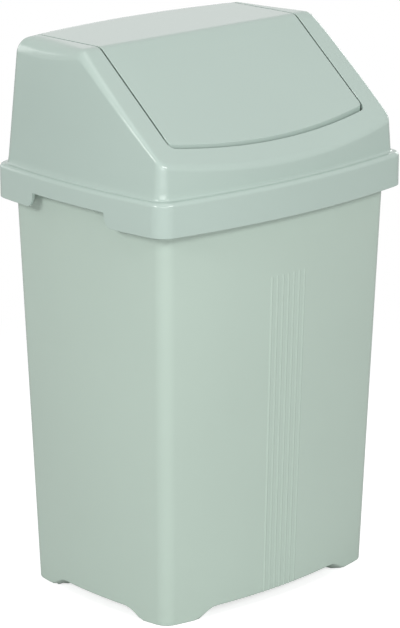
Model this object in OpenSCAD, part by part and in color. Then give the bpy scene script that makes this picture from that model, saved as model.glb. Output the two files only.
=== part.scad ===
// Swing-lid bin: a tapered tub on four corner feet, a lift-off hood with a sloping front,
// and a bent flap that swings in the hood's two cheeks.
// Origin on the standing surface under the middle of the bin, front towards -Y.

/* [Bin body] */
// Height of the body up to its rim
body_h = 276; // [230:1:320]
// Width of the body at the floor
base_w = 190; // [174:1:200]
// Depth of the body at the floor
base_d = 146; // [130:1:152]
// Corner radius of the body
body_corner_r = 11; // [8:0.5:15]
// Wall thickness of the body
body_wall = 1.8; // [1.4:0.1:2.4]
// Height of the corner feet under the floor
foot_h = 6.5; // [4:0.5:9]
// Length of a foot along the front, measured from the corner
foot_w = 34; // [24:1:38]
// Length of a foot along the side, measured from the corner
foot_d = 31; // [24:1:36]
// Number of fine grooves down the front
groove_n = 7; // [5:2:9]
// Pitch of the grooves
groove_pitch = 4.7; // [3.8:0.1:5.6]
// Height of the grooves' upper ends
groove_top = 218; // [150:1:225]

/* [Hood] */
// Width over the skirt
lid_w = 222; // [214:1:232]
// Depth over the skirt
lid_d = 177; // [172:1:186]
// Height of the skirt
skirt_h = 21.7; // [18:0.1:26]
// Height of the hood above its ledge
hood_rise = 81.5; // [74:0.5:92]
// Height of the front wall at the middle
front_wall_h = 12; // [9:0.5:16]
// Slope of the front from level
slope_angle = 39.7; // [37:0.1:43]
// Width of the ledge round the hood's foot
ledge_w = 4.2; // [3.8:0.1:5.6]
// Wall thickness of the hood
hood_wall = 2.2; // [1.8:0.1:2.6]
// Radius of the top edge along the back
edge_r_back = 13; // [11:0.5:15]
// Radius of the top edges along the cheeks
edge_r_side = 5.5; // [4:0.5:8]
// Length of a side finger notch
notch_len = 67; // [50:1:80]
// Height of a side finger notch
notch_h = 9.3; // [7:0.1:11]
// How far behind the middle a side finger notch sits
notch_back = 3; // [0:0.5:6]

/* [Flap] */
// Width of the opening that the flap fills
opening_w = 169.2; // [155:0.2:175]
// Gap down each side of the flap
side_gap = 1.2; // [0.8:0.1:1.8]
// Gap along the front of the flap
front_gap = 2.6; // [2:0.1:3.5]
// Thickness of the flap
flap_wall = 2; // [1.6:0.1:2.4]
// Depth of the flap's turned-down front lip
lip_h = 8; // [6:0.5:10]
// Diameter of the flap's stub pins
pin_d = 6; // [5:0.5:7]
// Furthest swing of the flap
swing = 52; // [40:1:54]

/* [Hidden] */
BODY_GREEN = [0.735, 0.800, 0.755];
LID_GREEN = [0.745, 0.810, 0.775];
bow_front = 9;
bow_side = 4.4;
skirt_corner_r = 12.5;
hood_corner_r = 9;
back_corner_more = 4;
least_r = 2;
seat_gap = 0.3;
draft = 4.2;
edge_r_front = 2.5;
ledge_fillet = 1.5;
ledge_more_d = 1.2;
skirt_round = 2.6;
notch_ease = 6;
bend_r = 8;
ledge_z = body_h + seat_gap + hood_wall;
skirt_z = ledge_z - skirt_h;
top_z = ledge_z + hood_rise;
hood_w = lid_w - 2 * ledge_w;
hood_d = lid_d - 2 * (ledge_w + ledge_more_d);
front_y = -hood_d / 2;
bend_y = front_y + (hood_rise - front_wall_h) / tan(slope_angle);
bend_run = bend_r * tan(slope_angle / 2);
rim_out = 3;
body_in_w = 8;
body_in_d = 6.9;
body_top_w = lid_w - 2 * body_in_w;
body_top_d = lid_d - 2 * body_in_d;
floor_t = 2.2;
foot_ramp = 10.5;
foot_r = 10;
foot_out_x = base_w / 2 - 0.7 * bow_side;
foot_out_y = base_d / 2 - 0.7 * bow_front;
rim_t = 2;
rim_drop = 6;
groove_w = 1.3;
opening_bow = 7.2;
sill = 13;
opening_corner_r = 4;
flap_corner_r = 2;
pin_ahead = 22;
pin_y = bend_y - pin_ahead;
pin_below = 14;
pin_z = top_z - pin_ahead * tan(slope_angle) - pin_below;
pin_len = 8.6;
bore_play = 0.1;
web_t = 2.2;
web_h = 9;
boss_r = pin_d / 2 + 3.5;
lug_r = pin_d / 2 + 4;
web_lug_r = pin_d / 2 + 6;
lip_wrap = 8;
lip_back_y = front_y + sill + opening_bow + lip_wrap;
flange_t = 1.8;
flange_h = 6;
stop_r = 2.5;
stop_arm = 20;
stop_arm_r = 4;
stop_len = 4.6;
back_drop = 10;
back_gap = 1.2;
shelf_t = 2;
shelf_drop = 20;
shelf_top = 6.5;
key_h = 5;
key_t = 1.8;
key_play = 0.5;
eps = 0.01;

// Stop peg: it stands against the side flange's edge when the flap is fully open
pin_deep = pin_below * cos(slope_angle);
open_a = 90 + slope_angle + swing;
stop_reach = pin_deep - flange_h - stop_r - seat_gap;
stop_y = pin_y + stop_reach * cos(open_a) + stop_arm * cos(open_a + 90);
stop_z = pin_z + stop_reach * sin(open_a) + stop_arm * sin(open_a + 90);

// Segments along half the front, round a corner, along half a side, in a quarter turn, up a foot
front_n = 5;
corner_n = 6;
side_n = 4;
arc_n = 5;
inner_arc_n = 3;
foot_n = 5;
quarter_n = front_n + corner_n + side_n;
ring_n = 4 * quarter_n;

// Point k of a quarter outline: middle of the front, front right corner, middle of the side
function quarter(k, w, d, r) =
    let (a = w / 2 - bow_side - r)
    let (c = d / 2 - bow_front - r)
    let (fa = atan(2 * bow_front / a))
    let (sa = atan(2 * bow_side / c))
    k < front_n ? front_point(k / front_n, a, c, r) :
    k <= front_n + corner_n ?
        let (t = fa + (90 - fa - sa) * (k - front_n) / corner_n)
        [a + r * sin(t), -(c + r * cos(t))] :
    side_point((quarter_n - k) / side_n, a, c, r);

function front_point(u, a, c, r) =
    let (t = atan(2 * bow_front * u / a))
    [a * u + r * sin(t), -(c + bow_front * (1 - u * u) + r * cos(t))];

function side_point(v, a, c, r) =
    let (t = atan(2 * bow_side * v / c))
    [a + bow_side * (1 - v * v) + r * cos(t), -(c * v + r * sin(t))];

// Point i of the whole outline, anticlockwise from the middle of the front
function outline(i, w, d, r) =
    i <= quarter_n ? quarter(i, w, d, r) :
    i <= 2 * quarter_n ?
        let (p = quarter(2 * quarter_n - i, w, d, r)) [p.x, -p.y] :
    i <= 3 * quarter_n ?
        let (p = quarter(i - 2 * quarter_n, w, d, r)) [-p.x, -p.y] :
    let (p = quarter(4 * quarter_n - i, w, d, r)) [-p.x, p.y];

function inset(i, w, d, r, by) = outline(i, w - 2 * by, d - 2 * by, max(r - by, least_r));

function level(w, d, r, z) = [for (i = [0:ring_n - 1]) let (p = outline(i, w, d, r)) [p.x, p.y, z]];

// Height of the roof's profile at y, sunk by t square to its surface
function roof(y, t) =
    let (from = bend_y + bend_run)
    let (turn = (bend_r - t) * sin(slope_angle))
    y >= from ? top_z - t :
    y >= from - turn ? top_z - bend_r + sqrt(pow(bend_r - t, 2) - pow(from - y, 2)) :
    top_z - (bend_y - y) * tan(slope_angle) - t / cos(slope_angle);

// Radius of the front and side edges at y: small along the front, full from the bend on
function edge_r(y) =
    let (s = min(1, (y - front_y) / (bend_y - front_y)))
    edge_r_front + (edge_r_side - edge_r_front) * ease(s);

function ease(s) = s * s * (3 - 2 * s);

function at_back(i) = i > quarter_n && i < 3 * quarter_n;

// How far point i is round a back corner: 0 along the side, 1 along the back
function back_share(i) =
    let (k = i <= 2 * quarter_n ? i - quarter_n : 3 * quarter_n - i)
    at_back(i) ? ease(min(1, max(0, (k - side_n) / corner_n))) : 0;

// Height of the rounded top edge at point i, for the form sunk by t
function edge_h(i, y, t) =
    let (side = edge_r(y))
    max(side + (edge_r_back - side) * back_share(i) - t, least_r / 2);

// Closed solid through rings of ring_n points, listed from the bottom up
module loft(rings, roofed = false) {
    m = len(rings);
    last = (m - 1) * ring_n;
    walls = [for (j = [0:m - 2], i = [0:ring_n - 1])
        let (k = (i + 1) % ring_n)
        [j * ring_n + i, (j + 1) * ring_n + i, (j + 1) * ring_n + k, j * ring_n + k]];
    split = [for (f = walls) each [[f[0], f[1], f[2]], [f[0], f[2], f[3]]]];
    under = [for (i = [0:ring_n - 1]) i];
    flat_top = [[for (i = [ring_n - 1:-1:0]) last + i]];
    strips = [for (k = [1:2 * quarter_n - 2])
        [last + ring_n - k, last + ring_n - k - 1, last + k + 1, last + k]];
    front_tip = [[last, last + ring_n - 1, last + 1]];
    back_tip = [[last + 2 * quarter_n + 1, last + 2 * quarter_n, last + 2 * quarter_n - 1]];
    cap = roofed ? concat(front_tip, strips, back_tip) : flat_top;
    polyhedron(points = [for (r = rings) each r], faces = concat(split, [under], cap));
}

// Radius of the hood's corners at height z: the two at the back open out upwards
function corner_r(i, z) =
    hood_corner_r + (at_back(i) ? back_corner_more * (z - ledge_z) / hood_rise : 0);

// Point i of the hood at height z on its wall, for the form sunk by t
function wall_point(i, z, t) =
    let (p = inset(i, hood_w, hood_d, corner_r(i, z), t + (z - ledge_z) * tan(draft)))
    [p.x, p.y, z];

function wall_top(i, t) =
    let (p = inset(i, hood_w, hood_d, corner_r(i, top_z), t + front_wall_h * tan(draft)))
    roof(p.y, t) - edge_h(i, p.y, t);

// Point i on the rounded top edge, turned by a from the wall
function edge_point(i, a, t) =
    let (z = wall_top(i, t))
    let (w = wall_point(i, z, t))
    let (lean = t + (z - ledge_z) * tan(draft))
    let (side = max(edge_r(w.y) - t, least_r / 2) * (1 - cos(a)))
    let (back = at_back(i) ? (edge_r_back - t) * (1 - cos(a)) : side)
    let (r = max(corner_r(i, z) - lean - (side + back) / 2, least_r))
    let (p = outline(i, hood_w - 2 * (lean + side), hood_d - 2 * (lean + back), r))
    [p.x, p.y, roof(p.y, t) - edge_h(i, w.y, t) * (1 - sin(a))];

function fillet_ring(a) =
    let (by = ledge_fillet * (1 - sin(a)))
    level(hood_w + 2 * by, hood_d + 2 * by, hood_corner_r + by, ledge_z + ledge_fillet * (1 - cos(a)));

// The hood's outside form above the ledge, sunk by t all over
module hood_form(t, foot_z) {
    foot = [for (i = [0:ring_n - 1]) let (p = wall_point(i, ledge_z, t)) [p.x, p.y, foot_z]];
    fillets = t == 0 ? [for (a = [0:30:60]) fillet_ring(a)] : [];
    first = t == 0 ? level(hood_w + 2 * ledge_fillet, hood_d + 2 * ledge_fillet,
        hood_corner_r + ledge_fillet, foot_z) : foot;
    walls = [for (f = t == 0 ? [0.06, 1] : [1]) [for (i = [0:ring_n - 1])
        wall_point(i, ledge_z + f * (wall_top(i, t) - ledge_z), t)]];
    turns = t == 0 ? arc_n : inner_arc_n;
    arcs = [for (j = [1:turns]) [for (i = [0:ring_n - 1]) edge_point(i, 90 * j / turns, t)]];
    loft(concat([first], fillets, walls, arcs), roofed = true);
}

// Plan shape of the opening, drawn in by gap at the sides and by front at its bowed front edge
module opening_plan(gap, front, r) {
    hw = opening_w / 2 - gap;
    fy = front_y + sill + front;
    cy = fy + opening_bow * pow((hw - r) / hw, 2) + r;
    lean = atan(2 * opening_bow / hw);
    left = [for (a = [180:10:270 - lean]) [-(hw - r) + r * cos(a), cy + r * sin(a)]];
    bow = [for (s = [-9:9]) let (x = (hw - 1.6 * r) * s / 9) [x, fy + opening_bow * pow(x / hw, 2)]];
    right = [for (i = [len(left) - 1:-1:0]) [-left[i].x, left[i].y]];
    polygon(concat([[hw, lid_d], [-hw, lid_d]], left, bow, right));
}

module opening_prism(gap, front, r = flap_corner_r) {
    translate([0, 0, ledge_z])
        linear_extrude(height = 2 * hood_rise)
            opening_plan(gap, front, r);
}

// Everything in front of the middle, and behind it whatever stands less than drop below the top
module above_back(drop) {
    translate([-lid_w, -lid_d, 0])
        cube([2 * lid_w, lid_d + eps, 2 * top_z]);
    translate([-lid_w, 0, top_z - drop])
        cube([2 * lid_w, lid_d, 2 * top_z]);
}

// Round bar from side to side, starting at from
module across(y, z, r, from, length) {
    translate([from, y, z])
        rotate([0, 90, 0])
            cylinder(r = r, h = length);
}

// Upright slab beside the opening, from x0 outwards
module slab(x0, t, y0, y1) {
    translate([x0, y0, ledge_z])
        cube([t, y1 - y0, 2 * hood_rise]);
}

// Outline of the front right foot at height z, grown by d
function foot_level(d, z) =
    let (w = (foot_w + 2 * d) / 2)
    let (l = (foot_d + 2 * d) / 2)
    let (r = foot_r + d)
    [for (i = [0:ring_n - 1]) let (a = 360 * (i + 0.5) / ring_n) [
        foot_out_x - foot_w / 2 + sign(cos(a)) * (w - r) + r * cos(a),
        -foot_out_y + foot_d / 2 + sign(sin(a)) * (l - r) + r * sin(a), z]];

// Feet sunk by t, from z0 up: their sides start at 45 degrees and ease out into the floor
module feet(t, z0) {
    steps = [for (j = [0:foot_n]) let (d = foot_ramp * j / foot_n)
        foot_level(d - t, z0 + foot_h * sin(90 * j / foot_n))];
    for (x = [0, 1], y = [0, 1])
        mirror([x, 0, 0])
            mirror([0, y, 0])
                loft(concat([foot_level(-t, z0 - eps)], steps, [foot_level(foot_ramp - t, z0 + foot_h + 1)]));
}

module tub(by, z0, z1) {
    f0 = z0 / body_h;
    f1 = z1 / body_h;
    function at(f, a, b) = a + (b - a) * f - 2 * by;
    loft([
        level(at(f0, base_w, body_top_w), at(f0, base_d, body_top_d), body_corner_r - by, z0),
        level(at(f1, base_w, body_top_w), at(f1, base_d, body_top_d), body_corner_r - by, z1),
    ]);
}

// Fine grooves down the front, following its lean
module grooves() {
    lean = atan((body_top_d - base_d) / 2 / body_h);
    for (k = [0:groove_n - 1]) {
        x = (k - (groove_n - 1) / 2) * groove_pitch;
        u = x / (base_w / 2 - bow_side);
        translate([x, -base_d / 2 + bow_front * u * u, 0])
            rotate([lean, 0, 0])
                translate([0, 0, -foot_h])
                    linear_extrude(height = groove_top + foot_h)
                        rotate(45)
                            square(groove_w / sqrt(2), center = true);
    }
}

module rim() {
    w = body_top_w;
    d = body_top_d;
    r = body_corner_r;
    difference() {
        loft([
            level(w + 2 * rim_out - 1, d + 2 * rim_out - 1, r + rim_out - 0.5, body_h - rim_drop),
            level(w + 2 * rim_out, d + 2 * rim_out, r + rim_out, body_h - rim_drop + 1),
            level(w + 2 * rim_out, d + 2 * rim_out, r + rim_out, body_h - 1),
            level(w + 2 * rim_out - 2, d + 2 * rim_out - 2, r + rim_out - 1, body_h),
        ]);
        loft([
            level(w + 2 * rim_out - 2 * rim_t, d + 2 * rim_out - 2 * rim_t, r, body_h - rim_drop - 1),
            level(w + 2 * rim_out - 2 * rim_t, d + 2 * rim_out - 2 * rim_t, r, body_h - rim_t),
        ]);
    }
}

module bin_body() {
    color(BODY_GREEN)
        difference() {
            union() {
                tub(0, 0, body_h - eps);
                rim();
            }
            tub(body_wall, foot_h + floor_t, body_h + 1);
            intersection() {
                tub(body_wall, 0, body_h);
                feet(floor_t, floor_t);
            }
            difference() {
                tub(-1, -1, foot_h);
                feet(0, 0);
            }
            grooves();
        }
}

module skirt_form(by, z0, z1) {
    r = skirt_corner_r - by;
    loft([
        level(lid_w - 2 * by, lid_d - 2 * by, r, z0),
        for (j = [0:arc_n]) let (a = 90 * j / arc_n) let (c = by + skirt_round * (1 - cos(a)))
            level(lid_w - 2 * c, lid_d - 2 * c, r, z1 - skirt_round * (1 - sin(a))),
    ]);
}

// Finger notch in the skirt's lower edge: square above, its ends eased out below
module notch() {
    end = [for (a = [0:15:90]) [notch_len / 2 + notch_ease * (1 - cos(a)), notch_h * (1 - sin(a))]];
    mouth = notch_len / 2 + notch_ease;
    other_end = [for (i = [len(end) - 1:-1:0]) [-end[i].x, end[i].y]];
    translate([0, notch_back, skirt_z])
        rotate([90, 0, 90])
            linear_extrude(height = lid_w)
                polygon(concat(end, [[mouth, -1], [-mouth, -1]], other_end));
}

// Plate round the pin and up to the roof, standing at x0
module lug(x0, t, r) {
    across(pin_y, pin_z, r, x0, t);
    translate([x0, pin_y - r, pin_z])
        cube([t, 2 * r, 2 * pin_below]);
}

// Cheek web on the right: flange, pin boss, stop arm and stop peg
module cheek() {
    x0 = opening_w / 2;
    y0 = front_y + sill + opening_bow;
    y1 = -front_y - edge_r_back;
    intersection() {
        hood_form(1, ledge_z);
        union() {
            difference() {
                slab(x0, web_t, y0, y1);
                hood_form(web_h, ledge_z - 1);
            }
            lug(x0, web_t, web_lug_r);
            translate([x0, pin_y - stop_arm_r, pin_z - stop_arm])
                cube([web_t, 2 * stop_arm_r, stop_arm]);
            across(pin_y, pin_z - stop_arm, stop_arm_r, x0, web_t);
        }
    }
    across(pin_y, pin_z, boss_r, x0, pin_len - 2);
    across(stop_y, stop_z, stop_r, x0 - stop_len, stop_len + 1);
}

// Strip inside the back wall on which the flap's back edge rests
module back_shelf() {
    intersection() {
        difference() {
            union() {
                hood_form(flap_wall + seat_gap, ledge_z);
                intersection() {
                    hood_form(hood_wall - 1, ledge_z);
                    translate([-lid_w, 0, 0])
                        cube([2 * lid_w, lid_d, top_z - back_drop - back_gap]);
                }
            }
            hood_form(flap_wall + seat_gap + shelf_t, ledge_z - 1);
        }
        translate([-opening_w / 2 - 1, 0, top_z - shelf_drop])
            cube([opening_w + 2, lid_d, shelf_drop - shelf_top]);
    }
}

// Ring that drops inside the body's rim and centres the hood
module centring_ring() {
    w = body_top_w - 2 * (body_wall + key_play);
    d = body_top_d - 2 * (body_wall + key_play);
    r = body_corner_r - body_wall;
    difference() {
        loft([
            level(w, d, r, ledge_z - hood_wall - key_h),
            level(w, d, r, ledge_z - hood_wall),
            level(hood_w - 1, hood_d - 1, hood_corner_r, ledge_z - hood_wall),
            level(hood_w - 1, hood_d - 1, hood_corner_r, ledge_z),
        ]);
        loft([
            level(w - 2 * key_t, d - 2 * key_t, r - key_t, ledge_z - hood_wall - key_h - 1),
            level(w - 2 * key_t, d - 2 * key_t, r - key_t, ledge_z + 1),
        ]);
    }
}

// Blind hole for a stub pin, open towards the flap
module pin_bore() {
    across(pin_y, pin_z, pin_d / 2 + bore_play / 2, opening_w / 2 - 1, pin_len + 1);
}

module hood() {
    color(LID_GREEN)
        difference() {
            union() {
                difference() {
                    union() {
                        skirt_form(0, skirt_z, ledge_z);
                        hood_form(0, ledge_z - 1);
                    }
                    skirt_form(hood_wall, skirt_z - 1, ledge_z - hood_wall);
                    hood_form(hood_wall, ledge_z - hood_wall - 1);
                    intersection() {
                        opening_prism(0, 0, opening_corner_r);
                        above_back(back_drop + back_gap);
                    }
                }
                centring_ring();
                back_shelf();
                cheek();
                mirror([1, 0, 0])
                    cheek();
            }
            notch();
            mirror([1, 0, 0])
                notch();
            pin_bore();
            mirror([1, 0, 0])
                pin_bore();
        }
}

module swing_flap() {
    hw = opening_w / 2 - side_gap;
    color(LID_GREEN) {
        intersection() {
            opening_prism(side_gap, front_gap);
            above_back(back_drop);
            difference() {
                hood_form(0, ledge_z);
                hood_form(flap_wall, ledge_z - 1);
            }
        }
        intersection() {
            difference() {
                opening_prism(side_gap, front_gap);
                opening_prism(side_gap + flange_t, front_gap + flange_t);
            }
            difference() {
                hood_form(flap_wall / 2, ledge_z);
                hood_form(lip_h, ledge_z - 1);
            }
            translate([-lid_w, -lid_d, 0])
                cube([2 * lid_w, lid_d + lip_back_y, 2 * top_z]);
        }
        for (s = [0, 1])
            mirror([s, 0, 0]) {
                intersection() {
                    hood_form(flap_wall / 2, ledge_z);
                    union() {
                        difference() {
                            slab(hw - flange_t, flange_t, lip_back_y - 1, -front_y - edge_r_back - 8);
                            hood_form(flange_h, ledge_z - 1);
                        }
                        lug(hw - flange_t, flange_t, lug_r);
                    }
                }
                across(pin_y, pin_z, pin_d / 2, hw - flange_t / 2, side_gap + flange_t / 2 + pin_len - 1);
            }
    }
}

bin_body();
hood();
swing_flap();
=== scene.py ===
import math

import bmesh
import bpy
import numpy as np
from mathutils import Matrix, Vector


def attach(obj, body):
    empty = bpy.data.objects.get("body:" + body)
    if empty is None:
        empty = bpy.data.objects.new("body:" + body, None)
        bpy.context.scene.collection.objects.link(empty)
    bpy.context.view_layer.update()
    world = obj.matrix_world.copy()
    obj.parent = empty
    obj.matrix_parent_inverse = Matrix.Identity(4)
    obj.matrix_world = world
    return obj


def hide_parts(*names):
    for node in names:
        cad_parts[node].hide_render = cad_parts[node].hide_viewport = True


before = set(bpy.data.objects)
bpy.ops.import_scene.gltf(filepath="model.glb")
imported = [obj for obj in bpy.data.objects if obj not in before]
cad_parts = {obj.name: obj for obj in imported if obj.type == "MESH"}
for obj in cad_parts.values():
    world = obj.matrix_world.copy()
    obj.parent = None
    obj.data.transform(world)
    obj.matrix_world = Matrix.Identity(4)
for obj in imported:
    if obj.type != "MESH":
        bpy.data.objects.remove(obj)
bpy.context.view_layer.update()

# Swing-lid bin. Sizes are in millimetres, except the stage's, and MM turns them into the frame's metres.
MM = 0.001

# Plan: every level bows out at the front and back, and less at the sides
BOW_FRONT, BOW_SIDE = 9.0, 4.4
LEAST_R = 2.0

# Bin body
BODY_H = 276.0
BASE_W, BASE_D = 190.0, 146.0
TOP_W, TOP_D = 206.0, 163.2
BODY_CORNER_R = 11.0
BODY_WALL = 1.8
FLOOR_T, FLOOR_R = 2.2, 4.0
FOOT_H = 6.5
FOOT_W, FOOT_D = 34.0, 31.0
FOOT_R, FOOT_RAMP = 10.0, 10.5
FOOT_EDGE_R = 0.8
FOOT_BOW_SHARE = 0.7
RIM_OUT, RIM_DROP, RIM_T = 3.0, 6.0, 2.0
RIB_N, RIB_PITCH, RIB_TOP = 7, 4.9, 218.0
RIB_W, RIB_PROUD, RIB_FADE = 2.2, 0.45, 1.5

# Hood
LID_W, LID_D = 222.0, 177.0
SKIRT_H, HOOD_RISE = 21.7, 81.5
FRONT_WALL_H = 12.0
SLOPE = math.radians(39.7)
LEDGE_W, LEDGE_MORE_D = 4.2, 1.2
HOOD_WALL = 2.2
SEAT_GAP = 0.3
SKIRT_CORNER_R, HOOD_CORNER_R = 12.5, 9.0
BACK_CORNER_MORE = 4.0
DRAFT = math.radians(4.2)
EDGE_R_FRONT, EDGE_R_SIDE, EDGE_R_TOP, EDGE_R_BACK = 2.5, 5.5, 11.5, 13.0
EDGE_GROW_BEFORE, EDGE_GROW = 16.0, 56.0
LEDGE_FILLET, SKIRT_ROUND = 1.5, 2.6
BEND_R = 8.0
NOTCH_LEN, NOTCH_H, NOTCH_EASE, NOTCH_BACK = 67.0, 9.3, 6.0, 3.0
NOTCH_END = 0.1
# Slant where the ledge's underside meets the skirt
UNDER_EDGE = 0.8
# The key is the ring that centres the hood inside the rim
KEY_T, KEY_H, KEY_PLAY, KEY_TOP = 1.8, 5.0, 0.5, 0.3
LEDGE_Z = BODY_H + SEAT_GAP + HOOD_WALL
SKIRT_Z = LEDGE_Z - SKIRT_H
TOP_Z = LEDGE_Z + HOOD_RISE
HOOD_W = LID_W - 2 * LEDGE_W
HOOD_D = LID_D - 2 * (LEDGE_W + LEDGE_MORE_D)
FRONT_Y = -HOOD_D / 2
BEND_Y = FRONT_Y + (HOOD_RISE - FRONT_WALL_H) / math.tan(SLOPE)
BEND_END_Y = BEND_Y + BEND_R * math.tan(SLOPE / 2)

# Opening and flap
OPENING_W, OPENING_BOW = 169.2, 7.2
OPENING_CORNER_R, FLAP_CORNER_R, BACK_CORNER_R = 4.0, 2.0, 2.5
SILL = 13.0
SIDE_GAP, FRONT_GAP, BACK_GAP = 1.2, 2.6, 1.2
BACK_DROP = 10.0
FLAP_WALL, FLANGE_T, FLANGE_H = 2.0, 1.8, 6.0
LIP_H, LIP_WRAP, LIP_EASE = 10.4, 8.0, 5.0
FLAP_BACK_Y, FLAP_BACK_EASE = 50.0, 8.0
# The web is the cheek down each side of the opening, and the neck is the undercut below an edge
WEB_T, WEB_H = 2.2, 9.0
WEB_FRONT_Y, WEB_BACK_Y, WEB_EASE = FRONT_Y + SILL + 6, 60.0, 8.0
EDGE_R = 0.35
NECK, NECK_H = 0.7, 2.2

# Pivots, stops and the shelf behind the flap
PIN_R, PIN_REACH, PIN_TIP_R, BORE_R = 3.0, 7.6, 0.8, 3.05
BOSS_R, BOSS_LEN = 6.5, 6.6
PIN_AHEAD, PIN_BELOW = 22.0, 14.0
PIN_Y = BEND_Y - PIN_AHEAD
PIN_Z = TOP_Z - PIN_AHEAD * math.tan(SLOPE) - PIN_BELOW
LUG_R, WEB_LUG_R = 7.0, 9.0
LUG_SINK, LUG_SOFT, LUG_GAP = 1.0, 0.3, 0.05
STOP_R, STOP_LEN, STOP_TIP_R = 2.5, 4.6, 0.6
STOP_ARM, STOP_ARM_R = 20.0, 4.0
SWING = math.radians(52)
OPEN_ANGLE = math.pi / 2 + SLOPE + SWING
STOP_REACH = PIN_BELOW * math.cos(SLOPE) - FLANGE_H - STOP_R - SEAT_GAP
STOP_Y = PIN_Y + STOP_REACH * math.cos(OPEN_ANGLE) - STOP_ARM * math.sin(OPEN_ANGLE)
STOP_Z = PIN_Z + STOP_REACH * math.sin(OPEN_ANGLE) + STOP_ARM * math.cos(OPEN_ANGLE)
SHELF_T, SHELF_DROP, SHELF_TOP, SHELF_SOFT = 2.0, 20.0, 6.5, 0.4
# How far a piece reaches into the one it is moulded with
TIE_IN = 1.0

# Meshes: points closer than MERGE become one, and edges shorter than LEAST_EDGE go
MERGE, LEAST_EDGE = 0.01, 0.004
# Steps of the body's underside, floor, outside and inside, and of the places t round body and hood
UNDER_STEP, FLOOR_STEP, WALL_STEP, INSIDE_STEP = 1.8, 3.0, 12.0, 24.0
BODY_PLACE, HOOD_PLACE = 0.02, 0.0125
# Points round a pin and round a peg
PIN_POINTS, PEG_POINTS = 48, 40

# Moulded plastic
IOR = 1.49
CLOUD_SCALE, GRAIN_SCALE = 9, 900
CLOUD_FROM, CLOUD_TO = 0.3, 0.7
GRAIN_DEPTH, GLOSS_SPREAD = 0.2, 0.04

# Stage, with its sizes in metres
AIM_Z = 0.2
FLOOR_HALF = 3.0
FLOOR_GREY, FLOOR_ROUGHNESS = 0.6, 0.9
FLOOR_LIFT = 0.69
SHADOW_R, PLAIN_R = 0.2, 0.6


# ---------------------------------------------------------------- outlines and surfaces

# Shares of a quarter of the outline that its front or back, its corner and its side take
FRONT_SHARE, CORNER_SHARE, SIDE_SHARE = 0.45, 0.25, 0.30
TO_SIDE = FRONT_SHARE + CORNER_SHARE


def outline(t, w, d, r):
    """Points x, y of a bowed rounded rectangle. t runs 0 to 4 anticlockwise from the front's middle."""
    t = np.asarray(t, float) % 4.0
    q = np.floor(t).astype(int)
    f = t - q
    f = np.where(q % 2 == 1, 1.0 - f, f)
    a = w / 2 - BOW_SIDE - r
    c = d / 2 - BOW_FRONT - r
    fa, sa = np.arctan(2 * BOW_FRONT / a), np.arctan(2 * BOW_SIDE / c)
    u = np.clip(f / FRONT_SHARE, 0, 1)
    turn_u = np.arctan(2 * BOW_FRONT * u / a)
    front = (a * u + r * np.sin(turn_u), c + BOW_FRONT * (1 - u * u) + r * np.cos(turn_u))
    k = np.clip((f - FRONT_SHARE) / CORNER_SHARE, 0, 1)
    turn = fa + (math.pi / 2 - fa - sa) * k
    corner = (a + r * np.sin(turn), c + r * np.cos(turn))
    v = np.clip((1 - f) / SIDE_SHARE, 0, 1)
    turn_v = np.arctan(2 * BOW_SIDE * v / c)
    side = (a + BOW_SIDE * (1 - v * v) + r * np.cos(turn_v), c * v + r * np.sin(turn_v))
    on_front, on_corner = f < FRONT_SHARE, f < TO_SIDE
    x = np.where(on_front, front[0], np.where(on_corner, corner[0], side[0]))
    y = np.where(on_front, front[1], np.where(on_corner, corner[1], side[1]))
    return np.where(q < 2, x, -x), np.where((q == 0) | (q == 3), -y, y)


def outline_places(gap):
    """Places t round the outline no more than gap apart, with the ends of its arcs among them."""
    marks = {m for f in (0, FRONT_SHARE, TO_SIDE, 1) for m in (f, 2 - f, 2 + f, 4 - f)}
    return spread(marks, gap)


def ring(t, w, d, r, z):
    """Points round an outline w wide and d deep, at height z."""
    x, y = outline(t, w, d, r)
    return np.column_stack([x, y, np.broadcast_to(z, x.shape)])


def roof(y, sink):
    """Height of the hood's roof at y, sunk square to its surface."""
    y = np.asarray(y, float)
    turn = (BEND_R - sink) * math.sin(SLOPE)
    bend = TOP_Z - BEND_R + np.sqrt(np.maximum((BEND_R - sink) ** 2 - (BEND_END_Y - y) ** 2, 0))
    slope = TOP_Z - (BEND_Y - y) * math.tan(SLOPE) - sink / math.cos(SLOPE)
    return np.where(y >= BEND_END_Y, TOP_Z - sink, np.where(y >= BEND_END_Y - turn, bend, slope))


def ease(s):
    """0 to 1 with a soft start and a soft end."""
    return s * s * (3 - 2 * s)


def edge_r(y):
    """Radius of the hood's front and side edges: small along the front, largest beside the flat top."""
    s = np.clip((y - FRONT_Y) / (BEND_Y - FRONT_Y), 0, 1)
    over = np.clip((y - BEND_Y + EDGE_GROW_BEFORE) / EDGE_GROW, 0, 1)
    slope = EDGE_R_FRONT + (EDGE_R_SIDE - EDGE_R_FRONT) * ease(s)
    return slope + (EDGE_R_TOP - EDGE_R_SIDE) * ease(over)


def at_back(t):
    """Whether t lies in the outline's back half."""
    return (t % 4 > 1) & (t % 4 < 3)


def back_share(t):
    """How far round a back corner t is: 0 along the side, 1 along the back."""
    t = t % 4
    from_side = np.where(t <= 2, t - 1, 3 - t)
    turned = np.clip((from_side - SIDE_SHARE) / CORNER_SHARE, 0, 1)
    return np.where(at_back(t), ease(turned), 0)


def edge_h(t, y, sink):
    """Height of the rounded top edge."""
    side = edge_r(y)
    return np.maximum(side + (EDGE_R_BACK - side) * back_share(t) - sink, LEAST_R / 2)


def corner_r(t, z):
    """Radius of the hood's upright corners: the back ones grow upwards."""
    return HOOD_CORNER_R + np.where(at_back(t), BACK_CORNER_MORE * (z - LEDGE_Z) / HOOD_RISE, 0)


def hood_xy(t, z, by):
    """x, y of the hood's wall at height z, drawn in by by."""
    return outline(t, HOOD_W - 2 * by, HOOD_D - 2 * by, np.maximum(corner_r(t, z) - by, LEAST_R))


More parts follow.
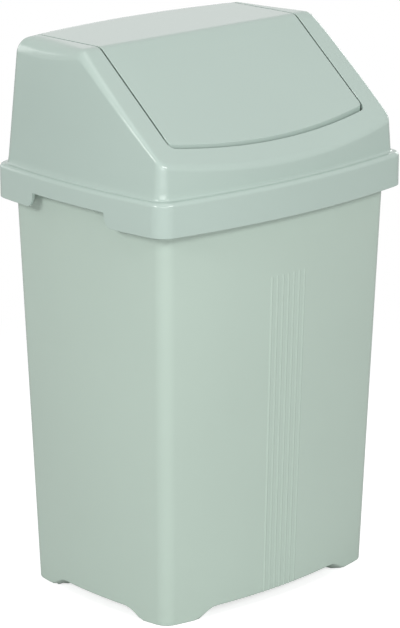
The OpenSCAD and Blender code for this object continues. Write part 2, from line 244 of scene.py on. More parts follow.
def wall_top(t, sink):
    """Height at which the hood's wall ends and its top edge starts to turn."""
    x, y = hood_xy(t, TOP_Z, sink + FRONT_WALL_H * math.tan(DRAFT))
    return roof(y, sink) - edge_h(t, y, sink)


def hood_wall(t, f, sink):
    """The hood's wall: f is 0 at the ledge and 1 where the top edge starts to turn."""
    z = LEDGE_Z + f * (wall_top(t, sink) - LEDGE_Z)
    x, y = hood_xy(t, z, sink + (z - LEDGE_Z) * math.tan(DRAFT))
    return np.column_stack([x, y, z])


def hood_over(t, s, sink):
    """The hood's top edge for s from 0 to 1, then its roof s - 1 millimetres further in."""
    z = wall_top(t, sink)
    lean = sink + (z - LEDGE_Z) * math.tan(DRAFT)
    x, y = hood_xy(t, z, lean)
    a = np.clip(s, 0, 1) * math.pi / 2
    further = np.maximum(s - 1, 0)
    side = np.maximum(edge_r(y) - sink, LEAST_R / 2) * (1 - np.cos(a))
    back = np.where(at_back(t), (EDGE_R_BACK - sink) * (1 - np.cos(a)), side)
    r = np.maximum(corner_r(t, z) - lean - (side + back) / 2 - further, LEAST_R)
    in_x, in_y = lean + side + further, lean + back + further
    px, py = outline(t, HOOD_W - 2 * in_x, HOOD_D - 2 * in_y, r)
    return np.column_stack([px, py, roof(py, sink) - edge_h(t, y, sink) * (1 - np.sin(a))])


def rounded_meet(a, b, r):
    """Signed distance to the meeting of two half planes, with its corner rounded to r."""
    near = (a > -r) & (b > -r)
    return np.where(near, np.hypot(np.maximum(a + r, 0), np.maximum(b + r, 0)) - r, np.maximum(a, b))


def opening_front(x, half, start):
    """y of the opening's curved front edge, which starts at start in the middle."""
    return start + OPENING_BOW * (x / half) ** 2


def outside_opening(p, grow):
    """Below 0 inside the hood's opening, grown outwards by grow."""
    half = OPENING_W / 2 + grow
    start = FRONT_Y + SILL - grow
    side = np.abs(p[:, 0]) - half
    front = opening_front(p[:, 0], half, start) - p[:, 1]
    back_z = TOP_Z - BACK_DROP - BACK_GAP - min(grow, EDGE_R)
    back = np.where(p[:, 1] > 0, back_z - p[:, 2], -OPENING_W)
    near_front = rounded_meet(side, front, OPENING_CORNER_R)
    near_back = rounded_meet(side, back, BACK_CORNER_R)
    return np.where(p[:, 1] > 0, near_back, near_front)


def reach_opening(t, sink, grow):
    """How far s runs over the top edge and roof before it meets the opening."""
    edge_step, roof_step, furthest = 0.025, 0.5, 60.0
    over_edge = np.linspace(0, 1, round(1 / edge_step) + 1)
    over_roof = np.arange(1 + roof_step, furthest + roof_step / 2, roof_step)
    high = np.full_like(t, furthest)
    for s in np.concatenate([over_edge, over_roof]):
        inside = outside_opening(hood_over(t, np.full_like(t, s), sink), grow) < 0
        high = np.where(inside & (high > s), s, high)
    low = high - np.where(high <= 1, edge_step, roof_step)
    for _ in range(30):
        mid = (low + high) / 2
        inside = outside_opening(hood_over(t, mid, sink), grow) < 0
        high, low = np.where(inside, mid, high), np.where(inside, low, mid)
    return high


def even_rows(t, end, sink, count):
    """Rows of points from the wall's top to s = end, evenly spaced along each section."""
    fine = np.linspace(0, 1, 80)
    split = np.minimum(end, 1)
    s_of = [np.where(f < 0.5, f * 2 * split, split + (f - 0.5) * 2 * (end - split)) for f in fine]
    pts = [hood_over(t, s, sink) for s in s_of]
    run = [np.zeros_like(t)]
    for a, b in zip(pts, pts[1:]):
        run.append(run[-1] + np.linalg.norm(b - a, axis=1))
    run, s_of = np.array(run), np.array(s_of)
    rows = []
    for k in range(count + 1):
        s = [np.interp(k / count * run[-1, i], run[:, i], s_of[:, i]) for i in range(len(t))]
        rows.append(hood_over(t, np.array(s), sink))
    return rows


# ---------------------------------------------------------------- meshes

def unit(v):
    """Each vector at length 1."""
    return v / np.maximum(np.linalg.norm(v, axis=-1, keepdims=True), 1e-12)


def loop_faces(rows, n, closed_rows=False):
    """Quads between rings of n points each, joined round."""
    faces = []
    pairs = rows if closed_rows else rows - 1
    for j in range(pairs):
        a, b = j * n, (j + 1) % rows * n
        faces += [(a + i, a + (i + 1) % n, b + (i + 1) % n, b + i) for i in range(n)]
    return faces


def end_faces(rows, n):
    """A flat face across the first ring of n points and one across the last."""
    return [tuple(range(n)), tuple(range((rows - 1) * n, rows * n))]


def make_mesh(name, points, faces, body, material):
    """A piece from points in millimetres, smooth shaded, on its body and in its material slot."""
    mesh = bpy.data.meshes.new(name)
    mesh.from_pydata((np.asarray(points) * MM).tolist(), [], faces)
    work = bmesh.new()
    work.from_mesh(mesh)
    bmesh.ops.remove_doubles(work, verts=work.verts, dist=MERGE * MM)
    bmesh.ops.dissolve_degenerate(work, edges=work.edges, dist=LEAST_EDGE * MM)
    bmesh.ops.recalc_face_normals(work, faces=work.faces)
    work.to_mesh(mesh)
    work.free()
    mesh.shade_smooth()
    obj = bpy.data.objects.new(name, mesh)
    bpy.context.scene.collection.objects.link(obj)
    obj.data.materials.append(material)
    weighted = obj.modifiers.new("weighted_normals", "WEIGHTED_NORMAL")
    weighted.keep_sharp = True
    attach(obj, body)
    return obj


def spread(marks, gap):
    """Values from the first mark to the last, at every mark and no more than gap apart."""
    marks = sorted(marks)
    values = [marks[0]]
    for a, b in zip(marks, marks[1:]):
        if b - a > 1e-6:
            count = max(1, math.ceil((b - a) / gap))
            values += [a + (b - a) * k / count for k in range(1, count + 1)]
    return values


# ---------------------------------------------------------------- materials

def plastic(name, colour, roughness, cloud, grain):
    """Satin moulded plastic: faint clouding in the colour, fine grain in the gloss and surface."""
    material = bpy.data.materials.new(name)
    material.use_nodes = True
    nodes, links = material.node_tree.nodes, material.node_tree.links
    shader = nodes["Principled BSDF"]
    place = nodes.new("ShaderNodeTexCoord")
    clouds = nodes.new("ShaderNodeTexNoise")
    clouds.inputs["Scale"].default_value = CLOUD_SCALE
    clouds.inputs["Detail"].default_value = 3
    tint = nodes.new("ShaderNodeValToRGB")
    dark = [c * (1 - cloud) for c in colour]
    light = [min(1, c * (1 + cloud)) for c in colour]
    tint.color_ramp.elements[0].position = CLOUD_FROM
    tint.color_ramp.elements[0].color = (*dark, 1)
    tint.color_ramp.elements[1].position = CLOUD_TO
    tint.color_ramp.elements[1].color = (*light, 1)
    fine = nodes.new("ShaderNodeTexNoise")
    fine.inputs["Scale"].default_value = GRAIN_SCALE
    fine.inputs["Detail"].default_value = 4
    gloss = nodes.new("ShaderNodeMapRange")
    gloss.inputs["To Min"].default_value = roughness - GLOSS_SPREAD
    gloss.inputs["To Max"].default_value = roughness + GLOSS_SPREAD
    bump = nodes.new("ShaderNodeBump")
    bump.inputs["Strength"].default_value = grain
    bump.inputs["Distance"].default_value = GRAIN_DEPTH * MM
    links.new(place.outputs["Object"], clouds.inputs["Vector"])
    links.new(place.outputs["Object"], fine.inputs["Vector"])
    links.new(clouds.outputs["Fac"], tint.inputs["Fac"])
    links.new(tint.outputs["Color"], shader.inputs["Base Color"])
    links.new(fine.outputs["Fac"], gloss.inputs["Value"])
    links.new(gloss.outputs["Result"], shader.inputs["Roughness"])
    links.new(fine.outputs["Fac"], bump.inputs["Height"])
    links.new(bump.outputs["Normal"], shader.inputs["Normal"])
    shader.inputs["IOR"].default_value = IOR
    return material


def linear(r, g, b):
    """Linear colour from display values of 0 to 255, none of them near black."""
    return tuple(((c / 255 + 0.055) / 1.055) ** 2.4 for c in (r, g, b))


BODY_COLOUR = linear(180, 197, 186)
LID_COLOUR = linear(175, 192, 184)
body_plastic = plastic("body_plastic", BODY_COLOUR, roughness=0.2, cloud=0.015, grain=0.12)
lid_plastic = plastic("lid_plastic", LID_COLOUR, roughness=0.13, cloud=0.012, grain=0.06)


# ---------------------------------------------------------------- bin body

def foot_height(x, y):
    """Height of the underside: 0 on the four rounded feet, eased up to the floor between them."""
    middle_x = BASE_W / 2 - FOOT_BOW_SHARE * BOW_SIDE - FOOT_W / 2
    middle_y = BASE_D / 2 - FOOT_BOW_SHARE * BOW_FRONT - FOOT_D / 2
    off_x = np.abs(np.abs(x) - middle_x) - FOOT_W / 2 + FOOT_R
    off_y = np.abs(np.abs(y) - middle_y) - FOOT_D / 2 + FOOT_R
    past = np.hypot(np.maximum(off_x, 0), np.maximum(off_y, 0)) + np.minimum(np.maximum(off_x, off_y), 0)
    return FOOT_H * np.sin(np.clip((past - FOOT_R) / FOOT_RAMP, 0, 1) * math.pi / 2)


# How far t moves for each millimetre across the middle of the front, at the base
FRONT_PER_MM = FRONT_SHARE / (BASE_W / 2 - BOW_SIDE)


def body_places():
    """Places round the body: even ones, and closer ones at the fine ribs."""
    across_rib = np.array([-1.3, -1, -0.75, -0.5, -0.25, 0, 0.25, 0.5, 0.75, 1, 1.3]) * RIB_W / 2
    places = outline_places(gap=4)
    for k in range(RIB_N):
        middle = (k - (RIB_N - 1) / 2) * RIB_PITCH
        places += list((middle + across_rib) * FRONT_PER_MM % 4)
    return np.array(spread(places, BODY_PLACE)[:-1])


def rib(t, z):
    """How far the fine ribs stand out of the front at place t and height z."""
    x = np.where(t > 2, t - 4, t) / FRONT_PER_MM
    nearest = np.clip(np.round(x / RIB_PITCH), -(RIB_N // 2), RIB_N // 2) * RIB_PITCH
    across = np.clip(np.abs(x - nearest) / (RIB_W / 2), 0, 1)
    fade = np.clip((RIB_TOP - z) / RIB_FADE, 0, 1)
    return RIB_PROUD * (1 + np.cos(math.pi * across)) / 2 * fade


def body_ring(t, z, by):
    """Ring of the tapered wall at height z, drawn in by by."""
    f = np.asarray(z, float) / BODY_H
    w = BASE_W + (TOP_W - BASE_W) * f - 2 * by
    d = BASE_D + (TOP_D - BASE_D) * f - 2 * by
    return ring(t, w, d, np.maximum(BODY_CORNER_R - by, LEAST_R), z)


def floor_ring(t, by, lift):
    """Ring of the underside, drawn in by by, or of the floor above it."""
    p = ring(t, BASE_W - 2 * by, BASE_D - 2 * by, max(BODY_CORNER_R - by, LEAST_R), 0)
    p[:, 2] = foot_height(p[:, 0], p[:, 1]) + lift
    return p


def rim_profile():
    """The rolled rim, from under its lip over the top to the wall's inside: drops and insets."""
    lip = -RIM_OUT
    under = [(RIM_T, lip + RIM_T), (RIM_DROP, lip + RIM_T), (RIM_DROP + 0.2, lip + 1)]
    outside = [(RIM_DROP, lip + 0.2), (RIM_DROP - 0.5, lip), (1, lip), (0.4, lip + 0.2), (0.1, lip + 0.6)]
    over = [(0, lip + 1), (0, BODY_WALL - 0.6), (0.2, BODY_WALL - 0.15), (0.6, BODY_WALL)]
    return under + outside + over


def make_body():
    """The tub: underside with feet, ribbed wall, rolled rim, inside wall and floor."""
    t = body_places()
    n = len(t)
    to_middle = 60
    level_from, inside_to = 14.0, 262.0
    rows = [floor_ring(t, by, 0) for by in spread([FOOT_EDGE_R, to_middle], UNDER_STEP)[::-1]]
    edge = floor_ring(t, 0, 0)[:, 2]
    for a in np.radians([30, 60, 90]):
        z = edge + FOOT_EDGE_R * (1 - math.cos(a))
        rows.append(body_ring(t, z, FOOT_EDGE_R * (1 - math.sin(a)) - rib(t, z)))
    for v in (0.25, 0.5, 0.75):
        z = edge + FOOT_EDGE_R + (level_from - edge) * v
        rows.append(body_ring(t, z, -rib(t, z)))
    heights = spread([level_from + 1.5, RIB_TOP - RIB_FADE], WALL_STEP)
    heights += [RIB_TOP - 1, RIB_TOP - 0.5, RIB_TOP] + spread([RIB_TOP + 1, BODY_H - RIM_T], WALL_STEP)
    rows += [body_ring(t, np.full(n, z), -rib(t, z)) for z in heights]
    rows += [body_ring(t, np.full(n, BODY_H), by) - np.array([0, 0, drop]) for drop, by in rim_profile()]
    inside_from = FOOT_H + FLOOR_T + FLOOR_R + 1
    for z in spread([inside_from, inside_to], INSIDE_STEP)[::-1]:
        rows.append(body_ring(t, np.full(n, z), BODY_WALL))
    for a in np.radians([15, 40, 65, 90]):
        by = BODY_WALL + FLOOR_R * (1 - math.cos(a))
        rows.append(floor_ring(t, by, FLOOR_T + FLOOR_R * (1 - math.sin(a))))
    for by in spread([BODY_WALL + FLOOR_R, to_middle], FLOOR_STEP)[1:]:
        rows.append(floor_ring(t, by, FLOOR_T))
    faces = loop_faces(len(rows), n) + end_faces(len(rows), n)
    body = make_mesh("bin_tub", np.vstack(rows), faces, "bin", body_plastic)
    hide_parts("bin_body")


# ---------------------------------------------------------------- hood

def hood_places():
    """Places round the hood: even ones, and closer ones at the ends of the finger notches."""
    fine = np.linspace(TO_SIDE, 2 - TO_SIDE, 1201)
    y = outline(fine, LID_W, LID_D, SKIRT_CORNER_R)[1]
    right = []
    for past in (-NOTCH_END, 0, 0.1, 0.3, 0.6, 1, 1.6, 2.4, 3.2, 4, 5, 6, 7):
        for end in (-1, 1):
            right.append(float(np.interp(NOTCH_BACK + end * (NOTCH_LEN / 2 + past), y, fine)))
    left = [4 - place for place in right]
    return np.unique(np.round(outline_places(HOOD_PLACE)[:-1] + right + left, 6))


def notch_height(p):
    """Height of the skirt's lower edge over the finger notches: square above, eased out below."""
    beyond = np.abs(p[:, 1] - NOTCH_BACK) - NOTCH_LEN / 2
    past = np.clip(beyond / NOTCH_EASE, 0, 1)
    eased = NOTCH_H * (1 - np.sqrt(1 - (1 - past) ** 2))
    height = np.where(beyond < -NOTCH_END / 2, NOTCH_H, eased)
    return np.where(np.abs(p[:, 0]) > LID_W / 2 - 2 * BOW_SIDE, height, 0)


def skirt_ring(t, by, z):
    """Ring of the skirt at height z, drawn in by by."""
    return ring(t, LID_W - 2 * by, LID_D - 2 * by, np.maximum(SKIRT_CORNER_R - by, LEAST_R), z)


def side_share(p):
    """1 along the cheeks, 0 at the sill and the back, eased between."""
    front = np.clip((p[:, 1] - WEB_FRONT_Y) / WEB_EASE, 0, 1)
    back = np.clip((WEB_BACK_Y - p[:, 1]) / WEB_EASE, 0, 1)
    return ease(np.minimum(front, back))


def skirt_rows(t):
    """The skirt from inside its lower edge, up its outside and in to the foot of the hood's wall."""
    edge = SKIRT_Z + notch_height(skirt_ring(t, 0, 0))
    lower = [(HOOD_WALL, 0.6), (HOOD_WALL - 0.2, 0.15), (HOOD_WALL - 0.6, 0),
             (0.4, 0), (0.2, 0.05), (0.05, 0.2), (0, 0.4)]
    rows = [skirt_ring(t, by, edge + up) for by, up in lower]
    top = LEDGE_Z - SKIRT_ROUND
    rows += [skirt_ring(t, 0, edge + 0.4 + (top - edge - 0.4) * v) for v in (0.25, 0.5, 0.75, 1)]
    for a in np.radians([15, 30, 45, 60, 75, 90]):
        by = SKIRT_ROUND * (1 - math.cos(a))
        rows.append(skirt_ring(t, by, top + SKIRT_ROUND * math.sin(a)))
    for a in np.radians([0, 22.5, 45, 67.5]):
        by = LEDGE_FILLET * (1 - math.sin(a))
        z = LEDGE_Z + LEDGE_FILLET * (1 - math.cos(a))
        rows.append(ring(t, HOOD_W + 2 * by, HOOD_D + 2 * by, HOOD_CORNER_R + by, z))
    return rows


def opening_rows(last, before):
    """The opening's edge, from the roof's last two rows: rounded, necked in along the cheeks, and deep."""
    inward = unit(last - before)
    along = unit(np.roll(last, -1, axis=0) - np.roll(last, 1, axis=0))
    down = unit(np.cross(inward, along))
    rows = []
    for a in np.radians([0, 22.5, 45, 67.5, 90]):
        rows.append(last - inward * EDGE_R * (1 - math.sin(a)) + down * EDGE_R * (1 - math.cos(a)))
    share = side_share(last)[:, None]
    deep = HOOD_WALL + (WEB_H - HOOD_WALL) * share
    neck = NECK * share
    neck_from = HOOD_WALL - 0.6 + (NECK_H - HOOD_WALL + 0.6) * share
    back_to = 0.5 + (WEB_T - 0.8) * share
    for drop, out in ((neck_from, neck), (deep - 0.3, neck), (deep, neck + 0.3), (deep, back_to)):
        rows.append(last + down * drop - inward * out)
    return rows


def key_rows(t):
    """The ring that centres the hood inside the rim, and the ledge's underside out to the skirt."""
    w, d = TOP_W - 2 * (BODY_WALL + KEY_PLAY), TOP_D - 2 * (BODY_WALL + KEY_PLAY)
    r = BODY_CORNER_R - BODY_WALL
    under = LEDGE_Z - HOOD_WALL
    profile = [(KEY_T, LEDGE_Z - KEY_TOP), (KEY_T, under - KEY_H), (0, under - KEY_H), (0, under)]
    rows = [ring(t, w - 2 * by, d - 2 * by, r - by, z) for by, z in profile]
    rows += [skirt_ring(t, HOOD_WALL + UNDER_EDGE, under), skirt_ring(t, HOOD_WALL, under - UNDER_EDGE)]
    return rows


def make_hood():
    """The hood's shell, as one closed band of rings from the skirt over the roof and back inside."""
    t = hood_places()
    rows = skirt_rows(t)
    rows += [hood_wall(t, f, 0) for f in (0.08, 0.25, 0.45, 0.65, 0.85)]
    over = even_rows(t, reach_opening(t, 0, 0), 0, 30)
    rows += over[:-2] + opening_rows(over[-1], over[-2])
    rows += even_rows(t, reach_opening(t, HOOD_WALL, WEB_T), HOOD_WALL, 12)[::-1]
    rows += [hood_wall(t, f, HOOD_WALL) for f in (0.8, 0.5, 0.2, 0.03)]
    rows += key_rows(t)
    faces = loop_faces(len(rows), len(t), closed_rows=True)
    hood = make_mesh("hood_shell", np.vstack(rows), faces, "hood", lid_plastic)
    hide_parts("hood")


# ---------------------------------------------------------------- flap

def back_y(x, z, sink):
    """y of the hood's back at x and height z: its wall, then the rounded edge over it."""
    arc_z = TOP_Z - EDGE_R_BACK
    wall_z = np.minimum(z, arc_z)
    lean = sink + (wall_z - LEDGE_Z) * math.tan(DRAFT)
    up = np.clip((z - arc_z) / (EDGE_R_BACK - sink), 0, 1)
    turn = 1 - np.sqrt(1 - up * up)
    side, back = (EDGE_R_TOP - sink) * turn, (EDGE_R_BACK - sink) * turn
    r = HOOD_CORNER_R + BACK_CORNER_MORE * (wall_z - LEDGE_Z) / HOOD_RISE - lean - (side + back) / 2
    r = np.maximum(r, LEAST_R)
    a = HOOD_W / 2 - lean - side - BOW_SIDE - r
    c = HOOD_D / 2 - lean - back - BOW_FRONT - r
    u = np.abs(x) / (a + 2 * BOW_FRONT * r / a)
    lean_out = np.arctan(2 * BOW_FRONT * u / a)
    return c + BOW_FRONT * (1 - u * u) + r * np.cos(lean_out)


def flap_columns(half):
    """x across the flap, closer together towards both sides."""
    crowd = math.pi / 2 * 0.93
    return half * np.sin(np.linspace(-crowd, crowd, 65)) / math.sin(crowd)


def flap_surface(x, pull, sink):
    """Rows of points up the flap at each x: slope, bend, top, and the turn down at the back.

    pull draws the edges in, and sink lowers the surface, square to itself."""
    half = OPENING_W / 2 - SIDE_GAP - pull
    start = FRONT_Y + SILL + FRONT_GAP + pull
    r = FLAP_CORNER_R
    over = np.clip(np.abs(x) - (half - r), 0, r)
    inner = np.clip(np.abs(x), 0, half - r)
    y0 = opening_front(inner, half, start) + r - np.sqrt(r * r - over * over)
    y1 = back_y(x, TOP_Z - sink, sink)
    bend_y = BEND_END_Y - (BEND_R - sink) * math.sin(SLOPE)
    slope_n, bend_n, top_n, back_n = 24, 8, 13, 12
    lines = [y0 + (bend_y - y0) * k / slope_n for k in range(slope_n + 1)]
    lines += [np.full_like(x, bend_y + (BEND_END_Y - bend_y) * k / bend_n) for k in range(1, bend_n + 1)]
    lines += [BEND_END_Y + (y1 - BEND_END_Y) * k / top_n for k in range(1, top_n + 1)]
    rows = [np.column_stack([x, y, roof(y, sink)]) for y in lines]
    low = math.asin(1 - (BACK_DROP - pull - sink) / (EDGE_R_BACK - sink))
    for angle in np.linspace(math.pi / 2, low, back_n + 1)[1:]:
        z = TOP_Z - sink - (EDGE_R_BACK - sink) * (1 - math.sin(angle))
        rows.append(np.column_stack([x, back_y(x, z, sink), np.full_like(x, z)]))
    return np.array(rows)


def boundary(grid):
    """The grid's outline, anticlockwise seen from above, as row and column numbers."""
    m, n = grid.shape[:2]
    path = [(0, j) for j in range(n)] + [(i, n - 1) for i in range(1, m)]
    path += [(m - 1, j) for j in range(n - 2, -1, -1)] + [(i, 0) for i in range(m - 2, 0, -1)]
    return path


def flap_edge(full, outer, inner, path):
    """Loops round the flap: its rounded edge, the lip and flanges below it, and the inner skin's edge."""
    rim, soft, deep_in = (np.array([grid[i, j] for i, j in path]) for grid in (full, outer, inner))
    normal = unit(np.cross(np.gradient(full, axis=1), np.gradient(full, axis=0)))
    front = np.clip((FRONT_Y + SILL + OPENING_BOW + LIP_WRAP - rim[:, 1]) / LIP_EASE, 0, 1)[:, None]
    back = np.clip((rim[:, 1] - FLAP_BACK_Y) / FLAP_BACK_EASE, 0, 1)[:, None]
    down = -np.array([normal[i, j] for i, j in path])
    down = unit(down * (1 - front) + np.array([0, 0, -1]) * front)
    depth = FLANGE_H + (LIP_H - FLANGE_H) * front
    depth = depth + (FLAP_WALL - depth) * back
    across = deep_in - rim
    towards = unit(across - down * np.sum(across * down, axis=1, keepdims=True))
    loops = []
    for a in np.radians([30, 60, 90]):
        loops.append(soft + (rim - soft) * math.sin(a) + down * EDGE_R * (1 - math.cos(a)))
    beside = 1 - back
    neck = NECK * (1 - front) * beside
    neck_from = NECK_H + (depth - 0.8 - NECK_H) * np.maximum(front, back)
    profile = [(neck_from, neck), (depth - 0.4, neck), (depth - 0.1, neck + 0.15), (depth, neck + 0.4),
               (depth, 0.5 + (FLANGE_T - 0.9) * beside), (depth - 0.4, 0.6 + (FLANGE_T - 0.6) * beside)]
    loops += [rim + down * drop + towards * inset for drop, inset in profile]
    return loops + [deep_in]


def make_flap():
    """The flap's panel: an outer skin, the loops round its edge, and an inner skin joined to the last."""
    half = OPENING_W / 2 - SIDE_GAP
    full = flap_surface(flap_columns(half), 0, 0)
    outer = flap_surface(flap_columns(half - EDGE_R), EDGE_R, 0)
    inner = flap_surface(flap_columns(half - FLANGE_T), FLANGE_T, FLAP_WALL)
    m, n = outer.shape[:2]
    path = boundary(outer)
    size = len(path)
    loops = flap_edge(full, outer, inner, path)
    cells = [(i, j) for i in range(m - 1) for j in range(n - 1)]
    faces = [(i * n + j, i * n + j + 1, (i + 1) * n + j + 1, (i + 1) * n + j) for i, j in cells]
    previous = [i * n + j for i, j in path]
    for k in range(len(loops)):
        now = list(range(m * n + k * size, m * n + (k + 1) * size))
        faces += [(previous[i], previous[(i + 1) % size], now[(i + 1) % size], now[i]) for i in range(size)]
        previous = now
    inner_at = dict(zip(path, previous))
    rest = [(i, j) for i in range(m) for j in range(n) if (i, j) not in inner_at]
    for k, key in enumerate(rest):
        inner_at[key] = m * n + len(loops) * size + k
    for i, j in cells:
        faces.append((inner_at[i, j], inner_at[i + 1, j], inner_at[i + 1, j + 1], inner_at[i, j + 1]))
    points = [outer.reshape(-1, 3), *loops, np.array([inner[key] for key in rest])]
    flap = make_mesh("flap_panel", np.vstack(points), faces, "flap", lid_plastic)
    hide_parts("swing_flap")


# ---------------------------------------------------------------- pivots, stops and shelf

def lug_angles(half, arm):
    """Angles round the pin's axis: even ones, with the corners of a lug's outline among them."""
    corners = [math.atan2(float(roof(PIN_Y + y, LUG_SINK)) - PIN_Z, y) for y in (half, -half)]
    neck = math.acos(arm / half)
    marks = [0, *corners, math.pi, math.pi + neck, 2 * math.pi - neck, 2 * math.pi]
    return np.array(spread(marks, math.radians(3))[:-1])


def lug_reach(angle, half, arm):
    """Distance from the pin to a lug's edge: round below, straight up to the roof, with an arm down."""
    low, high = np.zeros_like(angle), np.full_like(angle, 2 * STOP_ARM)
    for _ in range(40):
        mid = (low + high) / 2
        y, z = mid * np.cos(angle), mid * np.sin(angle)
        below_roof = (z >= 0) & (np.abs(y) <= half) & (PIN_Z + z <= roof(PIN_Y + y, LUG_SINK))
        on_arm = np.hypot(y, z - np.clip(z, -STOP_ARM, 0)) <= arm
        inside = below_roof | on_arm | (mid <= half)
        low, high = np.where(inside, mid, low), np.where(inside, high, mid)
    return low


def whole_turn(points):
    """Angles all the way round."""
    return np.linspace(0, 2 * math.pi, points + 1)[:-1]


def about(angle, profile, y, z):
    """One ring for each x and radius of the profile, about an axis along X through y and z."""
    return [np.column_stack([np.full_like(angle, x), y + r * np.cos(angle), z + r * np.sin(angle)])
            for x, r in profile]


def on_side(name, side, rows, body, closed_rows=False):
    """A piece through rings, on the right for side 1 and mirrored to the left for side -1."""
    n = len(rows[0])
    faces = loop_faces(len(rows), n, closed_rows)
    if not closed_rows:
        faces += end_faces(len(rows), n)
    points = np.vstack(rows) * np.array([side, 1, 1])
    name = f"{name}_{'right' if side > 0 else 'left'}"
    make_mesh(name, points, faces, body, lid_plastic)


def round_tip(tip, r, tip_r, turn):
    """Profile of a round end at x = tip, with its edge rounded to tip_r. turn is 1 where x grows to it."""
    return [(tip - turn * tip_r * (1 - math.sin(a)), r - tip_r * (1 - math.cos(a)))
            for a in np.linspace(0, math.pi / 2, 5)]


def make_hood_lug(side):
    """Plate beside the opening with the boss that the flap's pin turns in, and the arm of the stop."""
    angle = lug_angles(WEB_LUG_R, STOP_ARM_R)
    reach = lug_reach(angle, WEB_LUG_R, STOP_ARM_R)
    near, far, end = (OPENING_W / 2 + x for x in (NECK + LUG_GAP, WEB_T, BOSS_LEN))
    soft = LUG_SOFT
    plate = [(near, BORE_R + soft), (near, reach - soft), (near + soft, reach), (far - soft, reach),
             (far, reach - soft)]
    boss = [(far, BOSS_R + soft), (far + soft, BOSS_R), (end - soft, BOSS_R), (end, BOSS_R - soft)]
    bore = [(end, BORE_R + soft), (end - soft, BORE_R), (near + soft, BORE_R)]
    rows = about(angle, plate + boss + bore, PIN_Y, PIN_Z)
    on_side("hood_lug", side, rows, "hood", closed_rows=True)


def make_flap_lug(side):
    """Plate under the flap's edge that carries its stub pin."""
    angle = lug_angles(LUG_R, STOP_ARM_R)
    reach = lug_reach(angle, LUG_R, 0)
    far = OPENING_W / 2 - SIDE_GAP - NECK - LUG_GAP
    near = OPENING_W / 2 - SIDE_GAP - FLANGE_T
    soft = LUG_SOFT
    profile = [(near, reach - soft), (near + soft, reach), (far - soft, reach), (far, reach - soft)]
    on_side("flap_lug", side, about(angle, profile, PIN_Y, PIN_Z), "flap")


def make_pin(side):
    """Stub pin of the flap, with a rounded tip."""
    root = OPENING_W / 2 - SIDE_GAP - FLANGE_T / 2
    profile = [(root, PIN_R)] + round_tip(OPENING_W / 2 + PIN_REACH, PIN_R, PIN_TIP_R, 1)
    on_side("flap_pin", side, about(whole_turn(PIN_POINTS), profile, PIN_Y, PIN_Z), "flap")


def make_stop_peg(side):
    """Peg on the arm's end that stops the open flap."""
    root = OPENING_W / 2 + TIE_IN
    profile = [(root, STOP_R)] + round_tip(OPENING_W / 2 - STOP_LEN, STOP_R, STOP_TIP_R, -1)
    on_side("stop_peg", side, about(whole_turn(PEG_POINTS), profile, STOP_Y, STOP_Z), "hood")


def make_back_shelf():
    """Band inside the back wall on which the flap's back edge rests."""
    x = np.linspace(-1, 1, 49) * (OPENING_W / 2 + TIE_IN)
    low, tie, high = TOP_Z - SHELF_DROP, TOP_Z - BACK_DROP - BACK_GAP, TOP_Z - SHELF_TOP
    wall, seat = HOOD_WALL - TIE_IN, FLAP_WALL + SEAT_GAP
    inner = seat + SHELF_T
    soft = SHELF_SOFT
    profile = [(wall, low), (inner - soft, low)]
    profile += [(inner, z) for z in spread([low + soft, high - soft], 1.5)]
    profile += [(inner - soft, high), (seat + soft, high)]
    profile += [(seat, z) for z in spread([tie, high - soft], 1)[::-1]] + [(wall, tie)]
    lines = [np.column_stack([x, back_y(x, z, sink), np.full_like(x, z)]) for sink, z in profile]
    points = np.stack(lines, axis=1).reshape(-1, 3)
    faces = loop_faces(len(x), len(profile)) + end_faces(len(x), len(profile))
    make_mesh("back_shelf", points, faces, "hood", lid_plastic)


make_body()
make_hood()
make_flap()
make_back_shelf()
for side in (-1, 1):
    make_hood_lug(side)
    make_stop_peg(side)
    make_flap_lug(side)
    make_pin(side)


# ---------------------------------------------------------------- stage, light and camera

def direction(azimuth, elevation):
    """Away from the bin, by angles in radians: azimuth 0 is in front, positive towards the right."""
    level = math.cos(elevation)
    return Vector((math.sin(azimuth) * level, -math.cos(azimuth) * level, math.sin(elevation)))


def make_camera():
    """The photograph's viewpoint: front left, a little above, through a long lens."""
    azimuth, elevation = math.radians(-43.258), math.radians(16.032)
    distance, middle_z = 1.8377, 0.18
    sensor_h, focal_px = 36, 2845.7
    image_w, image_h = 400, 628
    centre_px, centre_py = 201.13, 305.13
    back = direction(azimuth, elevation)
    data = bpy.data.cameras.new("photo_camera")
    data.sensor_fit = "VERTICAL"
    data.sensor_height = sensor_h
    data.lens = focal_px / image_h * sensor_h
    data.shift_x = (image_w / 2 - centre_px) / image_h
    data.shift_y = (centre_py - image_h / 2) / image_h
    camera = bpy.data.objects.new("photo_camera", data)
    bpy.context.scene.collection.objects.link(camera)
    camera.location = Vector((0, 0, middle_z)) + back * distance
    camera.rotation_euler = back.to_track_quat("Z", "Y").to_euler()
    bpy.context.scene.camera = camera


def soft_light(name, azimuth, elevation, distance, size, watts):
    """A softbox aimed at the bin, with its angles in degrees, its distance and size in metres."""
    away = direction(math.radians(azimuth), math.radians(elevation))
    data = bpy.data.lights.new(name, "AREA")
    data.shape = "RECTANGLE"
    data.size, data.size_y = size
    data.energy = watts
    lamp = bpy.data.objects.new(name, data)
    bpy.context.scene.collection.objects.link(lamp)
    lamp.location = Vector((0, 0, AIM_Z)) + away * distance
    lamp.rotation_euler = away.to_track_quat("Z", "Y").to_euler()


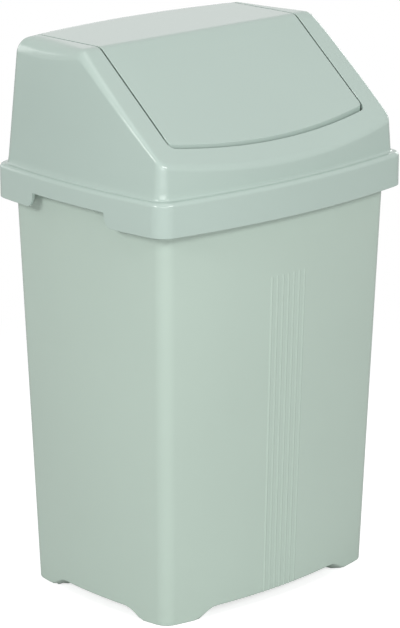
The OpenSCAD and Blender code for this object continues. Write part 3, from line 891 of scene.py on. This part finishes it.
def white_world(level):
    """Even light of the given level, seen as plain white and mirrored as plain white."""
    world = bpy.data.worlds.new("studio")
    bpy.context.scene.world = world
    world.use_nodes = True
    nodes, links = world.node_tree.nodes, world.node_tree.links
    lit = nodes["Background"]
    lit.inputs["Color"].default_value = (1, 1, 1, 1)
    lit.inputs["Strength"].default_value = level
    seen = nodes.new("ShaderNodeBackground")
    seen.inputs["Color"].default_value = (1, 1, 1, 1)
    seen.inputs["Strength"].default_value = 1
    path = nodes.new("ShaderNodeLightPath")
    mirrored = nodes.new("ShaderNodeMath")
    mirrored.operation = "MAXIMUM"
    either = nodes.new("ShaderNodeMath")
    either.operation = "MAXIMUM"
    mix = nodes.new("ShaderNodeMixShader")
    links.new(path.outputs["Is Glossy Ray"], mirrored.inputs[0])
    links.new(path.outputs["Is Transmission Ray"], mirrored.inputs[1])
    links.new(path.outputs["Is Camera Ray"], either.inputs[0])
    links.new(mirrored.outputs["Value"], either.inputs[1])
    links.new(either.outputs["Value"], mix.inputs["Fac"])
    links.new(lit.outputs["Background"], mix.inputs[1])
    links.new(seen.outputs["Background"], mix.inputs[2])
    links.new(mix.outputs["Shader"], nodes["World Output"].inputs["Surface"])


def make_floor():
    """A pale floor: white to the camera, with the bin's shadow near it and plain white further out."""
    mesh = bpy.data.meshes.new("floor")
    far = FLOOR_HALF
    mesh.from_pydata([(-far, -far, 0), (far, -far, 0), (far, far, 0), (-far, far, 0)], [], [(0, 1, 2, 3)])
    floor = bpy.data.objects.new("floor", mesh)
    bpy.context.scene.collection.objects.link(floor)
    material = bpy.data.materials.new("floor_white")
    material.use_nodes = True
    nodes, links = material.node_tree.nodes, material.node_tree.links
    lit = nodes["Principled BSDF"]
    lit.inputs["Base Color"].default_value = (FLOOR_GREY, FLOOR_GREY, FLOOR_GREY, 1)
    lit.inputs["Roughness"].default_value = FLOOR_ROUGHNESS
    lift = nodes.new("ShaderNodeEmission")
    lift.inputs["Strength"].default_value = FLOOR_LIFT
    near = nodes.new("ShaderNodeAddShader")
    plain = nodes.new("ShaderNodeEmission")
    plain.inputs["Strength"].default_value = 1
    place = nodes.new("ShaderNodeTexCoord")
    away = nodes.new("ShaderNodeVectorMath")
    away.operation = "LENGTH"
    fade = nodes.new("ShaderNodeMapRange")
    fade.interpolation_type = "SMOOTHSTEP"
    fade.inputs["From Min"].default_value = SHADOW_R
    fade.inputs["From Max"].default_value = PLAIN_R
    shown = nodes.new("ShaderNodeMixShader")
    path = nodes.new("ShaderNodeLightPath")
    final = nodes.new("ShaderNodeMixShader")
    links.new(lit.outputs["BSDF"], near.inputs[0])
    links.new(lift.outputs["Emission"], near.inputs[1])
    links.new(place.outputs["Object"], away.inputs[0])
    links.new(away.outputs["Value"], fade.inputs["Value"])
    links.new(fade.outputs["Result"], shown.inputs["Fac"])
    links.new(near.outputs["Shader"], shown.inputs[1])
    links.new(plain.outputs["Emission"], shown.inputs[2])
    links.new(path.outputs["Is Camera Ray"], final.inputs["Fac"])
    links.new(lit.outputs["BSDF"], final.inputs[1])
    links.new(shown.outputs["Shader"], final.inputs[2])
    links.new(final.outputs["Shader"], nodes["Material Output"].inputs["Surface"])
    floor.data.materials.append(material)


bpy.context.scene.view_settings.view_transform = "Standard"
make_camera()
white_world(level=0.29)
soft_light("front", azimuth=0, elevation=32, distance=2.2, size=(1.2, 0.5), watts=18.5)
soft_light("left", azimuth=-88, elevation=28, distance=2.2, size=(0.6, 0.5), watts=18)
soft_light("corner", azimuth=-36, elevation=5, distance=2.2, size=(2.0, 0.5), watts=14.5)
soft_light("overhead", azimuth=0, elevation=88, distance=1.8, size=(1.0, 1.0), watts=4.2)
soft_light("rear_left", azimuth=-165, elevation=14, distance=2.2, size=(1.0, 0.8), watts=6)
soft_light("right", azimuth=105, elevation=16, distance=2.2, size=(1.0, 0.8), watts=6)
soft_light("rear_panel", azimuth=143, elevation=16, distance=2.0, size=(1.4, 0.8), watts=0.25)
make_floor()
